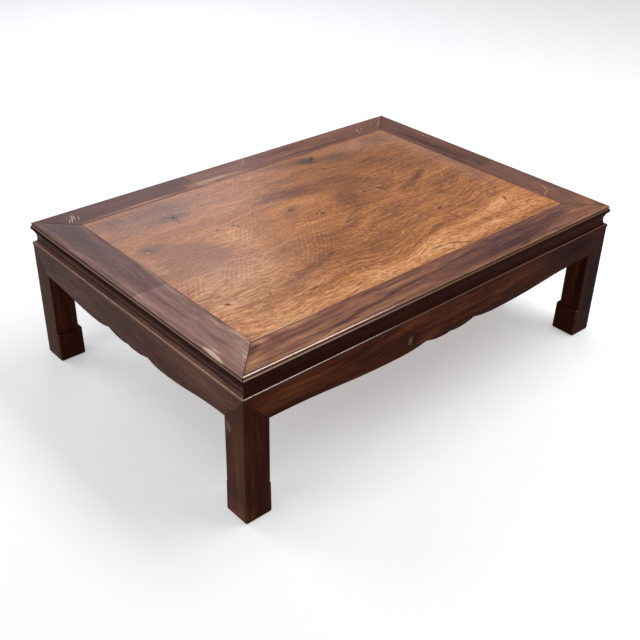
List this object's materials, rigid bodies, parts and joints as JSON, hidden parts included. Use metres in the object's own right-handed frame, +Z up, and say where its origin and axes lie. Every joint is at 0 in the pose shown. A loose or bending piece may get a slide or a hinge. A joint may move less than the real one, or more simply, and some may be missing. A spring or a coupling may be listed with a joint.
{
  "type": "kang table",
  "caption": "Low rectangular hardwood table with a framed floating panel, recessed waist, cusped aprons and square legs on stepped feet.",
  "frame": {"origin": "on the floor, under the middle of the table", "axes": "+X along the long sides, +Y from the front long side to the back one, +Z up"},
  "size_m": [0.965, 0.683, 0.302],
  "materials": {
    "panel_wood": "waxed orange-brown figured hardwood",
    "frame_wood": "waxed dark purplish-brown hardwood",
    "base_wood": "semi-gloss very dark red-brown hardwood",
    "batten_wood": "dull unpolished dark brown hardwood"
  },
  "bodies": {
    "root": {"top_panel": "panel_wood", "frame_rail_front": "frame_wood", "frame_rail_back": "frame_wood", "frame_end_left": "frame_wood", "frame_end_right": "frame_wood", "batten_left": "batten_wood", "batten_middle": "batten_wood", "batten_right": "batten_wood", "waist_front": "base_wood", "waist_back": "base_wood", "waist_left": "base_wood", "waist_right": "base_wood", "apron_front": "base_wood", "apron_back": "base_wood", "apron_left": "base_wood", "apron_right": "base_wood", "leg_front_left": "base_wood", "leg_front_right": "base_wood", "leg_back_right": "base_wood", "leg_back_left": "base_wood"}
  },
  "joints": []
}
